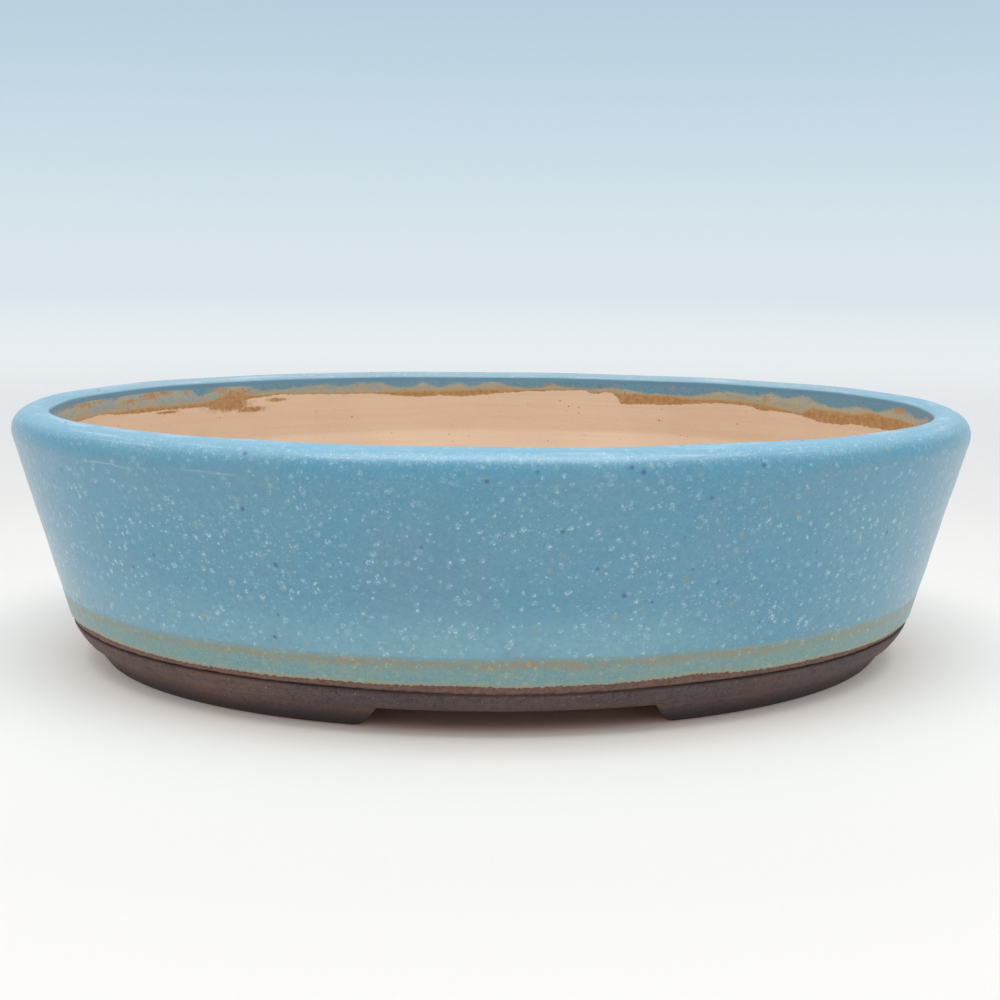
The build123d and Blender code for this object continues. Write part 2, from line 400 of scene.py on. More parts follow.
def blue_glaze():
    paint = Paint("blue_glaze_ceramic", coat=0.5, coat_roughness=0.24)
    height, along = paint.height(), paint.axis(0)
    up = paint.split(paint.add("ShaderNodeNewGeometry", "Normal", {}))[2]
    cloud, grain, murk = paint.noise(17, 3, 0.6), paint.noise(1300, 2, 0.7), paint.noise(420, 3, 0.65)
    colour = paint.mix(paint.span(cloud, 0.3, 0.7), (0.076, 0.296, 0.436), (0.111, 0.310, 0.420))
    # A greyer, slightly mauve cloud left of the middle of the front.
    patch = paint.vector("SUBTRACT", paint.warped(30, 0.03), (-0.031, -0.125, 0.052))
    patch = paint.vector("LENGTH", patch, output="Value")
    colour = paint.tinted(colour, (patch, 0.034, 0.008, 0.6, (0.155, 0.275, 0.375)))
    # Paler low on the wall, most of all at the middle and on the left.
    middle = paint.times(paint.span(paint.math("ABSOLUTE", along), 0.04, 0.13, 1.0, 0.55),
                         paint.span(along, 0.030, 0.085, 1.0, 0.1))
    colour = paint.mix(paint.times(paint.span(height, 50, 31), middle), colour, (0.205, 0.420, 0.505))
    colour = paint.tinted(
        colour,
        (paint.noise(52, 4, 0.6, 0.4), 0.5, 0.72, 0.42, (0.165, 0.285, 0.375)),
        (paint.streaks(22, 420, 3, 0.6), 0.45, 0.75, 0.15, (0.185, 0.38, 0.48)),
        (grain, 0.35, 0.7, 0.4, (0.17, 0.385, 0.49)),
        (murk, 0.42, 0.7, 0.26, (0.065, 0.23, 0.35)))
    # Over the crest the glaze is thinner and wiped in pale streaks, and its paler colour, which grows where
    # the surface faces up, is partly a painted highlight.
    crest = paint.span(up, 0.4, 0.85)
    streak = paint.streaks(34, 1100, 4, 0.65)
    crest_highlight_colour = paint.mix(paint.span(paint.axis(1), 0.0, 0.08),
                             (0.195, 0.45, 0.62), (0.310, 0.462, 0.545))
    colour = paint.mix(paint.times(crest, 0.72), colour, crest_highlight_colour)
    streaks = paint.times(paint.span(streak, 0.5, 0.7), crest)
    colour = paint.dabbed(colour, (streaks, 0.5, (0.50, 0.67, 0.78)))
    fleck = paint.times(speckles(paint, 0.92), paint.span(height, 95, 62, 0.5, 1.0))
    colour = paint.dabbed(colour, (fleck, 0.9, (0.49, 0.68, 0.73)))
    # Pale grains crowd together on the shoulder under the crest, where the surface faces part way up:
    # partly the glaze's crystals, partly a painted highlight broken up by them.
    highlight_grains = paint.times(paint.span(up, 0.2, 0.55), paint.span(up, 0.98, 0.78),
                        paint.span(paint.noise(60, 2), 0.3, 0.6, 0.45, 1.0),
                        paint.dots(0.95, 0.5, 0.9, paint.warped(1500, 0.0008), soft=0.1))
    colour = paint.dabbed(colour, (highlight_grains, 0.4, (0.56, 0.73, 0.82)))
    # Broken pale wipe marks along the line where the rim's roll begins.
    wander = paint.plus(height, paint.sway(paint.streaks(30, 200, 3), 5.0))
    line = paint.span(paint.math("ABSOLUTE", paint.minus(wander, TANGENT_Z)), 0.42, 0.05)
    line = paint.times(line, paint.span(paint.streaks(25, 300, 3), 0.48, 0.62))
    colour = paint.dabbed(colour, (line, 0.4, (0.42, 0.57, 0.63)))
    colour, pit = spots(paint, colour)
    # The glaze thins to ochre where it meets the base band.
    low = paint.plus(paint.sway(murk, 2.6), paint.sway(grain, 2.0))
    low = paint.plus(paint.field("above_band"), low)
    colour = paint.tinted(colour, (low, 0.8, -0.7, 0.75, (0.235, 0.300, 0.255)))
    colour = paint.mix(paint.field("inside"), colour, inner_blue(paint, cloud))
    rough = paint.span(grain, 0.3, 0.7, 0.32, 0.46)
    relief = paint.plus(paint.times(grain, 0.5), paint.times(fleck, 0.6))
    relief = paint.minus(relief, paint.times(pit, 2.0))
    normal = paint.bump(relief, 0.00006, 0.7, paint.bump(paint.noise(150, 2), 0.0005, 0.6))
    return paint.done(colour, rough, normal)


def green_glaze():
    paint = Paint("green_base_band", coat=0.15, coat_roughness=0.25)
    above, below = paint.field("above_edge"), paint.field("below_top")
    cloud, mottle, grit = paint.noise(60, 3, 0.6), paint.noise(330, 3, 0.65), paint.noise(1400, 2, 0.7)
    colour = paint.tinted(
        paint.mix(paint.span(cloud, 0.3, 0.7), (0.150, 0.325, 0.370), (0.195, 0.330, 0.325)),
        (mottle, 0.42, 0.68, 0.6, (0.27, 0.36, 0.28)),
        (grit, 0.42, 0.7, 0.45, (0.30, 0.41, 0.36)),
        (grit, 0.5, 0.28, 0.35, (0.105, 0.235, 0.26)))
    # Ochre where the band runs thin under its top edge, fading towards the pot's ends.
    ragged = paint.plus(paint.sway(paint.noise(620, 3, 0.75), 3.0), paint.sway(paint.noise(110, 3), 3.2))
    ragged = paint.plus(below, ragged)
    ochre = paint.times(paint.span(ragged, 5.1, 2.2), paint.span(ragged, -0.2, 1.9),
                        paint.span(paint.noise(38, 3), 0.3, 0.6, 0.55, 1.0),
                        paint.span(paint.math("ABSOLUTE", paint.axis(0)), 0.05, 0.12, 0.85, 0.5))
    thin = paint.mix(paint.span(paint.noise(300, 3), 0.35, 0.65), (0.26, 0.27, 0.20), (0.36, 0.255, 0.13))
    colour = paint.mix(ochre, colour, thin)
    bleed = paint.plus(paint.sway(paint.noise(420, 3, 0.65), 1.6), paint.sway(grit, 1.8))
    bleed = paint.plus(below, bleed)
    colour = paint.tinted(colour, (bleed, 1.35, -0.1, 0.85, (0.190, 0.350, 0.405)))
    fleck = speckles(paint, 0.85)
    freckle = paint.dots(2.2, 0.72, 0.85, paint.warped(700, 0.0008), soft=0.1)
    ember = paint.dots(5.2, 0.6, 0.7, paint.warped(600, 0.0007), soft=0.2)
    colour = paint.dabbed(colour, (fleck, 0.7, (0.46, 0.56, 0.46)), (freckle, 0.55, (0.44, 0.37, 0.16)),
                          (ember, 0.75, (0.40, 0.17, 0.06)))
    edge = paint.plus(above, paint.sway(paint.noise(700, 2), 1.5))
    worn = paint.times(paint.span(edge, 2.0, 0.5), paint.span(paint.noise(190, 3), 0.35, 0.6, 0.35, 0.8))
    colour = paint.mix(worn, colour, (0.37, 0.325, 0.175))
    rough = paint.span(mottle, 0.3, 0.7, 0.34, 0.5)
    relief = paint.plus(mottle, paint.times(fleck, 0.6))
    return paint.done(colour, rough, paint.bump(relief, 0.00009, 0.7))


def lip_glaze():
    """Inside the rim: blue, then thin yellowish grey, then rust along the coat's lower edge."""
    paint = Paint("lip_glaze_ceramic", coat=0.2, coat_roughness=0.3)
    above, rust = paint.field("above_edge"), paint.field("rust_reach")
    fine, broad, grit = paint.noise(480, 3, 0.7), paint.noise(70, 3, 0.6), paint.noise(1500, 2, 0.75)
    blue = paint.tinted(
        inner_blue(paint, paint.noise(17, 3, 0.6)),
        (fine, 0.45, 0.75, 0.4, (0.21, 0.36, 0.42)),
        (grit, 0.45, 0.7, 0.4, (0.27, 0.40, 0.43)),
        (grit, 0.45, 0.25, 0.5, (0.050, 0.150, 0.245)))
    # The grey is yellower over the rust and on the right, bluer on the left.
    side = paint.span(paint.axis(0), -0.075, -0.02)
    over_rust = paint.minus(above, rust)
    grey = paint.tinted(
        paint.mix(side, (0.315, 0.44, 0.47), (0.38, 0.43, 0.38)),
        (paint.noise(170, 3, 0.6), 0.4, 0.62, 0.75, (0.50, 0.43, 0.28)),
        (paint.plus(over_rust, paint.sway(broad, 1.5)), 2.0, 0.2, 0.7, (0.52, 0.43, 0.25)),
        (fine, 0.4, 0.7, 0.35, (0.34, 0.35, 0.28)),
        (grit, 0.48, 0.25, 0.55, (0.25, 0.21, 0.12)))
    swell = paint.plus(paint.sway(paint.noise(130, 4, 0.65), 3.2), paint.sway(fine, 1.8))
    swell = paint.plus(paint.field("below_blue"), swell)
    colour = paint.mix(paint.span(swell, -0.75, 0.75), blue, grey)
    colour = paint.dabbed(colour, (speckles(paint, 0.5), 0.3, (0.42, 0.52, 0.53)))
    edge = paint.plus(over_rust, paint.sway(fine, 1.3))
    edge = paint.plus(edge, paint.sway(paint.noise(190, 3, 0.65), 1.5))
    colour = paint.tinted(colour, (edge, 1.1, -0.1, 0.5, (0.49, 0.36, 0.18)),
                          (edge, 0.5, -0.6, 0.93, rust_colour(paint, fine)))
    colour = rusted(paint, colour, fine, 0.7, 2.1)
    dark = paint.dots(2.0, 0.46, 0.6, paint.warped(700, 0.0006), soft=0.3)
    colour = paint.dabbed(colour, (dark, 0.65, (0.09, 0.05, 0.025)))
    return paint.done(colour, paint.span(fine, 0.3, 0.7, 0.4, 0.62), paint.bump(fine, CLAY_RELIEF, 0.7))


def clay_colours(paint):
    """Bare peach clay inside the pot: faint wiping marks, grog and pores."""
    broad, wipe, grain = paint.noise(14, 4, 0.6), paint.streaks(16, 420, 4, 0.6), paint.noise(900, 3, 0.7)
    colour = paint.tinted(
        paint.mix(paint.span(broad, 0.3, 0.7), (0.738, 0.562, 0.418), (0.805, 0.620, 0.464)),
        (wipe, 0.4, 0.7, 0.25, (0.66, 0.46, 0.32)),
        (grain, 0.35, 0.75, 0.4, (0.83, 0.62, 0.46)),
        (paint.noise(31, 3, 0.65), 0.62, 0.8, 0.3, (0.50, 0.33, 0.18)))
    freckle = paint.dots(2.6, 0.5, 0.55, paint.warped(500, 0.0010), soft=0.1)
    pore = paint.dots(4.6, 0.5, 0.6, paint.warped(600, 0.0008), soft=0.3)
    colour = paint.dabbed(colour, (freckle, 0.28, (0.45, 0.29, 0.18)), (pore, 0.75, (0.24, 0.14, 0.08)))
    relief = paint.minus(paint.plus(grain, paint.times(wipe, 1.5)), paint.times(pore, 1.5))
    return colour, relief


def brown_colours(paint):
    """The dark fired clay of the foot: purplish brown, rusty flush, light and dark grains."""
    broad, grain = paint.noise(28, 4, 0.6), paint.noise(1100, 3, 0.75)
    colour = paint.tinted(
        paint.mix(paint.span(broad, 0.32, 0.68), (0.100, 0.060, 0.055), (0.135, 0.080, 0.070)),
        (paint.streaks(40, 1500, 4, 0.7), 0.5, 0.72, 0.55, (0.185, 0.125, 0.110)),
        (paint.streaks(26, 330, 4, 0.65), 0.5, 0.65, 0.48, (0.205, 0.086, 0.050)),
        (paint.noise(420, 3, 0.7), 0.46, 0.66, 0.45, (0.050, 0.032, 0.032)),
        (grain, 0.42, 0.75, 0.55, (0.21, 0.145, 0.130)))
    light = paint.dots(2.6, 0.34, 0.5, soft=0.3)
    dark = paint.dots(2.4, 0.5, 0.6, paint.warped(800, 0.0006), soft=0.3)
    colour = paint.dabbed(colour, (light, 0.7, (0.44, 0.35, 0.32)), (dark, 0.75, (0.022, 0.014, 0.014)))
    # Greyer everywhere but on the pot's left.
    side = paint.span(paint.axis(0), -0.095, -0.055)
    colour = paint.mix(side, colour, (0.77, 0.87, 0.97), "MULTIPLY")
    relief = paint.minus(grain, paint.times(dark, 1.2))
    return colour, relief


def stained_clay():
    """Bare clay under the lip coat, with the coat's rust run down onto it."""
    paint = Paint("stained_clay", specular=0.25)
    peach, relief = clay_colours(paint)
    fine = paint.noise(480, 3, 0.7)
    return paint.done(rusted(paint, peach, fine, 0.95), 0.8, paint.bump(relief, CLAY_RELIEF, 0.8))


def clay(name, washed):
    """Bare clay; where the field "washed" is 1 it wears the brown wash of the foot."""
    paint = Paint(name, specular=0.25)
    peach, peach_relief = clay_colours(paint)
    if not washed:
        return paint.done(peach, 0.85, paint.bump(peach_relief, CLAY_RELIEF, 0.8))
    brown, brown_relief = brown_colours(paint)
    wash = paint.span(paint.plus(paint.field("washed"), paint.sway(paint.noise(240, 3), 0.9)), 0.4, 0.6)
    # Heights as if the joint above the slab, which dips at the middle of the front, were level.
    middle = paint.span(paint.math("ABSOLUTE", paint.axis(0)), SEAM_REACH * MM, 0.0, 0, SEAM_DIP)
    height = paint.plus(paint.height(), paint.times(middle, paint.span(paint.axis(1), 0.0, -0.05)))
    under_glaze = paint.plus(height, paint.sway(paint.streaks(60, 600, 3), 1.6))
    strip = paint.span(paint.noise(700, 2), 0.35, 0.65)
    strip = paint.mix(strip, (0.175, 0.088, 0.066), (0.255, 0.138, 0.104))
    # A painted shade line along the groove of the joint above the slab.
    seam_shade = paint.plus(paint.sway(paint.streaks(90, 10, 3), 0.9), SLAB_TOP_Z - 0.2)
    seam_shade = paint.math("ABSOLUTE", paint.minus(height, seam_shade))
    brown = paint.tinted(
        brown,
        (under_glaze, SLAB_TOP_Z - 0.1, SLAB_TOP_Z + 0.9, 0.75, strip),
        (seam_shade, 0.6, 0.15, 0.4, (0.052, 0.026, 0.022)),
        # Painted shade along the slab's lower edge, where it meets the foot.
        (under_glaze, FOOT_HEIGHT + 1.4, FOOT_HEIGHT - 0.2, 0.5, (0.060, 0.038, 0.035)))
    relief = paint.mix(wash, peach_relief, brown_relief)
    return paint.done(paint.mix(wash, peach, brown), paint.span(wash, 0, 1, 0.85, 0.62),
                      paint.bump(relief, CLAY_RELIEF, 0.8))


def foot_clay():
    paint = Paint("foot_clay", specular=0.3)
    colour, relief = brown_colours(paint)
    height = paint.height()
    joint = paint.plus(height, paint.sway(paint.streaks(50, 400, 3), 3.0))
    # Darker towards the table, rusty just under the joint with the slab, and a painted shade line in the
    # crevice right under that joint.
    colour = paint.tinted(
        colour,
        (height, 9.0, 1.5, 0.85, (0.036, 0.027, 0.028)),
        (joint, FOOT_HEIGHT - 3.0, FOOT_HEIGHT - 0.8, 0.3, (0.20, 0.084, 0.044)),
        # Painted shade in the crevice under the slab's edge.
        (height, FOOT_HEIGHT - 0.6, FOOT_HEIGHT - 0.1, 0.6, (0.05, 0.03, 0.028)))
    return paint.done(colour, 0.62, paint.bump(relief, CLAY_RELIEF, 0.8))


BLUE, GREEN, LIP = blue_glaze(), green_glaze(), lip_glaze()
WASHED_CLAY, PEACH_CLAY = clay("washed_clay", True), clay("peach_clay", False)
STAINED_CLAY, FOOT_CLAY = stained_clay(), foot_clay()


# ---- edges of the glazes

BAND_TOP = waves(5, 60, 0.16)
EDGE_WAVE = waves(6, 40, 0.22)
EDGE_CRINKLE = waves(80, 420, 0.07)
LIP_WAVE = waves(5, 60, 0.8)
LIP_CRINKLE = waves(70, 480, 0.11)
EDGE_TEAR = waves(280, 800, 0.12)

# Along the front, where the glaze's lower edge rides up or down: X, half width, rise.
EDGE_LIFTS = ((-160, 16, 0.9), (-3, 11, -0.45), (42, 9, 0.5), (62, 13, 1.3))

# Around the back of the rim: angle, then the heights of the lip coat's lower edge, of the top of
# the rust along it and of the top of the thin grey zone. Between the last angle and the first,
# where the photograph shows nothing, all three are free.
LIP_EDGE = (
    (-12, 84.0, 85.4, 89.0), (-4, 82.4, 85.2, 88.8), (5, 81.2, 85.6, 89.2), (8, 80.9, 86.0, 90.3),
    (12, 80.5, 86.0, 89.2), (15, 80.5, 86.2, 87.2), (17.5, 80.5, 87.0, 88.2), (19, 80.6, 85.6, 88.2),
    (22, 80.7, 84.6, 88.0), (24.2, 79.7, 85.0, 87.0), (28, 79.3, 85.0, 86.9), (31, 80.2, 85.0, 88.6),
    (32.4, 81.0, 84.2, 90.0), (33.4, 81.6, 82.4, 90.6), (35, 82.2, 82.6, 89.4), (37.5, 82.5, 83.6, 88.6),
    (40, 82.4, 84.6, 90.0), (42.4, 82.3, 85.2, 88.8), (43.2, 83.5, 85.4, 88.8), (46, 84.0, 85.5, 89.0),
    (50, 84.0, 85.2, 89.2), (54, 83.2, 85.0, 87.2), (58, 82.0, 86.0, 86.8), (62, 81.6, 86.3, 87.3),
    (65.8, 81.3, 86.5, 88.1), (66.8, 81.6, 86.0, 88.3), (67.3, 84.4, 86.2, 88.5), (68.2, 86.4, 87.0, 88.6),
    (69.5, 86.8, 87.1, 88.4), (70.5, 85.8, 87.0, 88.2), (71.6, 85.9, 87.0, 88.0), (72.4, 87.0, 87.5, 88.0),
    (74.5, 87.4, 87.7, 88.1), (77, 87.0, 87.7, 89.0), (78.4, 86.8, 87.5, 90.0), (80, 86.6, 87.4, 88.6),
    (82, 86.3, 87.3, 88.1), (85, 85.9, 87.2, 89.4), (88, 85.1, 87.0, 91.4), (90, 84.4, 86.8, 89.2),
    (91.5, 83.9, 86.6, 88.3), (93, 83.8, 86.5, 89.9), (95, 84.1, 86.2, 88.2), (96.5, 84.4, 86.0, 88.2),
    (99, 83.8, 86.0, 90.0), (101, 83.9, 86.0, 88.0), (103, 84.3, 85.9, 88.1), (106, 85.0, 85.5, 91.0),
    (109, 85.3, 85.8, 90.2), (112, 85.5, 85.9, 89.0), (115, 85.6, 86.0, 90.4), (118, 85.8, 86.1, 90.3),
    (121, 86.1, 86.4, 89.0), (123.4, 86.2, 86.5, 88.2), (126, 85.4, 86.1, 88.7), (128.5, 85.0, 86.4, 90.2),
    (130, 84.4, 87.2, 91.0), (132, 83.4, 87.3, 91.5), (134, 82.4, 86.2, 91.0), (136, 82.4, 84.8, 88.6),
    (138, 82.9, 84.4, 87.7), (140, 82.7, 84.3, 90.4), (144, 82.8, 84.1, 91.2), (150, 82.8, 84.2, 91.5),
    (155, 83.1, 84.3, 91.0), (158, 83.7, 84.5, 89.9), (160, 84.2, 84.7, 90.4), (163, 84.2, 84.6, 91.4),
    (166, 83.9, 84.5, 91.5), (172, 83.4, 84.6, 90.4), (180, 83.6, 85.0, 90.0), (190, 84.8, 86.0, 89.4),
)

# Rusty patches inside the rim: angle, height, half width in degrees, half height.
STAINS = (
    (7.2, 89.6, 2.4, 1.6), (123.6, 84.0, 1.8, 0.9), (128, 80.2, 3.2, 1.5), (132.5, 82.6, 4.6, 3.0),
    (131, 88.2, 2.6, 2.0), (134, 89.6, 1.8, 1.6), (144.5, 81.8, 3.2, 0.7), (145, 90.2, 1.7, 1.2),
    (149, 89.4, 2.6, 1.7), (153.5, 88.4, 3.2, 0.9), (140.6, 89.4, 0.7, 1.3), (162.6, 90.1, 1.7, 1.0),
    (168, 89.5, 3.0, 1.5), (40.8, 87.6, 1.2, 1.9), (57.8, 91.2, 0.5, 2.4), (78.5, 89.6, 0.9, 1.0),
    (212, 83.0, 6, 1.8), (236, 82.8, 4, 2.4), (262, 84.0, 8, 1.4), (281, 82.6, 3, 1.6), (-45, 83.2, 6, 2.0),
)


def stain(turn, z):
    """How deep a place lies in a rusty patch: 1 in its middle, 0 at its edge, less outside."""
    angle, z = np.broadcast_arrays((np.degrees(turn) + 60) % 360 - 60, z)
    depth = np.full(z.shape, -1.0)
    for middle, height, half_width, half_height in STAINS:
        depth = np.maximum(depth, 1 - np.hypot((angle - middle) / half_width, (z - height) / half_height))
    return depth


def glaze_edge(turn):
    """Height of the glaze's ragged lower line on the outside."""
    height = GLAZE_EDGE_Z + EDGE_WAVE(turn) * 0.6 + EDGE_CRINKLE(turn) + EDGE_TEAR(turn)
    x = HALF_LENGTH * np.cos(turn)
    for middle, half_width, rise in EDGE_LIFTS:
        height += rise * np.exp(-((x - middle) / half_width) ** 2) * (np.sin(turn) < 0)
    return height


def lip_edge(turn):
    """Heights of the lip coat's lower edge, of the rust's top and of the grey zone's top."""
    angle = (np.degrees(turn) + 60) % 360 - 60
    table = np.array(LIP_EDGE)
    known = smooth(-12, 0, angle) * smooth(190, 178, angle)
    free_edge = LIP_EDGE_Z + 0.2 + LIP_WAVE(turn) * 1.2
    free_rust = free_edge + 1.3 + LIP_WAVE(turn + 1) * 1.1
    free_grey = free_edge + 4.4 + LIP_WAVE(turn + 2) * 1.1
    heights = []
    for column, free in enumerate((free_edge, free_rust, free_grey)):
        measured = np.interp(angle, table[:, 0], table[:, column + 1]) + LIP_WAVE(turn + column) * 0.12
        heights.append(known * measured + (1 - known) * free)
    edge, rust, grey = heights
    return edge, np.maximum(rust, edge + 0.25), np.maximum(grey, edge + 0.5)


# ---- the pieces

def seam_dip(turn):
    """How far the joint above the slab dips towards the middle of the front."""
    return SEAM_DIP * smooth(SEAM_REACH, 0, np.abs(HALF_LENGTH * np.cos(turn))) * (np.sin(turn) < 0)


def per_turn(turn, section):
    """The insets and heights of one section, spread over every step around the oval."""
    return (np.tile(column, (len(turn), 1)) for column in np.asarray(section).T)


def outer_coat():
    turn = around(1080)
    low = BAND_TOP_Z + BAND_TOP(turn)[:, None]
    rise = np.concatenate((run(0, 0.1, 8), run(0.1, 1, 22)))
    wall_z = low + (TANGENT_Z - low) * rise
    arc = rim_arc(RIM_RADIUS, RIM_WIDTH - 0.12, 32)
    corner = np.array([(RIM_WIDTH - 0.02, arc[-1, 1] - 0.16), (RIM_WIDTH, arc[-1, 1] - 0.45)])
    inner = run((RIM_WIDTH, arc[-1, 1] - 0.9), (RIM_WIDTH, LIP_TOP_Z), 4)
    under = rim_arc(RIM_RADIUS - GLAZE, CLAY_INNER, 14)[::-1]
    back_z = low + (TANGENT_Z - low) * np.linspace(0.95, 0, 6)
    fixed = np.concatenate((arc, corner, inner, [(RIM_WIDTH, LIP_TOP_Z), (CLAY_INNER, LIP_TOP_Z)], under))
    inset, z = per_turn(turn, fixed)
    # The coat rounds off a little over its last millimetre above the base band.
    thin = 0.05 * smooth(0.9, 0.0, wall_z - low)
    inset = np.concatenate((lean_inset(wall_z, thin), inset, lean_inset(back_z, GLAZE)), 1)
    z = np.concatenate((wall_z, z, back_z), 1)
    return ring_piece("glaze_outer_form", turn, inset, z, BLUE, sharp=60, above_band=z - low,
                      inside=smooth(RIM_WIDTH - 0.35, RIM_WIDTH - 0.02, inset) * (z > WIDEST_Z))


def base_band():
    turn = around(2880)
    low = glaze_edge(turn)[:, None]
    high = BAND_TOP_Z + BAND_TOP(turn)[:, None]
    bead, bead_height = np.radians([0, 22, 45, 68, 90]), 0.45
    proud = -0.06
    bead_z = low + bead_height * (1 - np.cos(bead))
    bead_depth = GLAZE - (GLAZE - proud) * np.sin(bead)
    body_z = low + bead_height + (high - 1.0 - low - bead_height) * np.linspace(0.06, 1, 14)
    body_depth = np.full(14, proud)
    shoulder = np.array([0.25, 0.5, 0.75, 1.0])
    shoulder_z = high - 1.0 + shoulder
    shoulder_depth = proud + 0.1 * smooth(0, 1, shoulder)
    back_z = low + (high - low) * np.array([1.0, 0.5])
    z = np.concatenate((bead_z, body_z, shoulder_z, back_z), 1)
    depth = np.concatenate((bead_depth, body_depth, shoulder_depth, [GLAZE, GLAZE]))
    return ring_piece("glaze_base_band_form", turn, lean_inset(z, depth), z, GREEN, sharp=70,
                      above_edge=z - low, below_top=high - z)


def lip_coat():
    turn = around(2880)
    edge, rust, grey = (height[:, None] for height in lip_edge(turn))
    part = 1 - (1 - np.linspace(0, 1, 30)) ** 1.5
    front_z = LIP_TOP_Z + (edge - LIP_TOP_Z) * part
    thick = GLAZE * (0.12 + 0.88 * smooth(0, 5, front_z - edge)) * smooth(-0.05, 0.6, front_z - edge)
    # Only the last millimetre follows the crinkled edge.
    front_z = front_z + LIP_CRINKLE(turn)[:, None] * smooth(1.1, 0, front_z - edge)
    back_z = front_z[:, -1:] + (LIP_TOP_Z - front_z[:, -1:]) * np.array([0.3, 0.7, 1.0])
    z = np.concatenate((front_z, back_z), 1)
    inset = np.concatenate((CLAY_INNER + thick, 0 * back_z + CLAY_INNER - 0.02), 1)
    return ring_piece("glaze_lip_form", turn, inset, z, LIP, sharp=70, above_edge=z - edge,
                      rust_reach=rust - edge + 0 * z, below_blue=grey - z, stain=stain(turn[:, None], z))


def rim_clay():
    turn = around(1440)
    arc = rim_arc(RIM_RADIUS - GLAZE, CLAY_INNER, 12)
    foot = (lean_inset(RIM_JOINT_Z, GLAZE), RIM_JOINT_Z)
    section = np.concatenate((run(foot, arc[0], 4), arc[:-1],
                              run(arc[-1], (CLAY_INNER, RIM_JOINT_Z), 36),
                              [(CLAY_INNER, RIM_JOINT_Z), ((CLAY_INNER + foot[0]) / 2, RIM_JOINT_Z)]))
    inset, z = per_turn(turn, section)
    return ring_piece("rim_form", turn, inset, z, STAINED_CLAY, stain=stain(turn[:, None], z))


def wall_clay():
    turn = around(720)
    foot = lean_inset(SLAB_TOP_Z, GLAZE)
    crease_z = SLAB_TOP_Z + (wall_inner_inset(SLAB_TOP_Z) - CLAY_INNER) / tan(LEAN)
    groove = np.array([(foot + 0.85, SLAB_TOP_Z), (foot + 0.5, SLAB_TOP_Z + 0.16),
                       (foot + 0.16, SLAB_TOP_Z + 0.48),
                       (lean_inset(SLAB_TOP_Z + 0.9, GLAZE), SLAB_TOP_Z + 0.9)])
    outer_z = np.concatenate((run(SLAB_TOP_Z + 1.2, 30, 8), run(30, RIM_JOINT_Z, 12)))
    inner_z = np.concatenate((run(RIM_JOINT_Z, crease_z + 0.6, 8), run(crease_z + 0.6, crease_z - 0.6, 8),
                              np.linspace(crease_z - 0.6, SLAB_TOP_Z, 30)))
    # The crease is a soft bend rather than a knife edge.
    soft = 0.05 * np.exp(-((inner_z - crease_z) / 0.4) ** 2)
    outer = np.stack((lean_inset(outer_z, GLAZE), outer_z), -1)
    inner = np.stack((wall_inner_inset(inner_z) + soft, inner_z), -1)
    top = np.array([(lean_inset(RIM_JOINT_Z, GLAZE), RIM_JOINT_Z), (CLAY_INNER - 2, RIM_JOINT_Z)])
    section = np.concatenate((groove, outer, top, inner))
    washed = np.concatenate((np.ones(len(groove) + len(outer)), [1, 0], np.zeros(len(inner))))
    inset, z = per_turn(turn, section)
    # The wall's foot dips with the joint, and is torn a little deeper here and there along it.
    at_foot = np.arange(z.shape[1]) < 3
    torn = 0.3 * smooth(-0.6, 1.2, JOINT_TEAR(turn))[:, None] * at_foot
    z = z - seam_dip(turn)[:, None] * at_foot
    return ring_piece("wall_form", turn, inset + torn, z, WASHED_CLAY, washed=washed)


def seam_coil():
    turn = around(900)
    reach = COIL_TOP_Z - SLAB_TOP_Z
    part = np.linspace(0, 1, 16)
    corner = wall_inner_inset(SLAB_TOP_Z)
    head = wall_inner_inset(COIL_TOP_Z)
    # From the toe on the floor to the head on the wall, dipping in like a pressed fillet.
    press = 0.45 * np.cos(turn * 46 + 2.2 * np.sin(turn * 3)) + LIP_WAVE(turn) * 0.25
    dip = (1.9 + press[:, None]) * np.sin(part * pi)
    inset = corner + reach + 0.25 + (head - corner - reach) * part - dip * 0.7
    z = SLAB_TOP_Z + 0.25 + (reach - 0.25) * part - dip * 0.7
    inset = np.concatenate((np.tile((corner - 0.3, corner + reach), (len(turn), 1)), inset), 1)
    z = np.concatenate((np.full((len(turn), 2), SLAB_TOP_Z), z), 1)
    return ring_piece("seam_coil_form", turn, inset, z, PEACH_CLAY, sharp=70)


def rounded(value, radius):
    """How far a quarter-round edge of that radius pulls in at that distance from its end."""
    return radius - np.sqrt(radius ** 2 - (radius - np.minimum(value, radius)) ** 2)


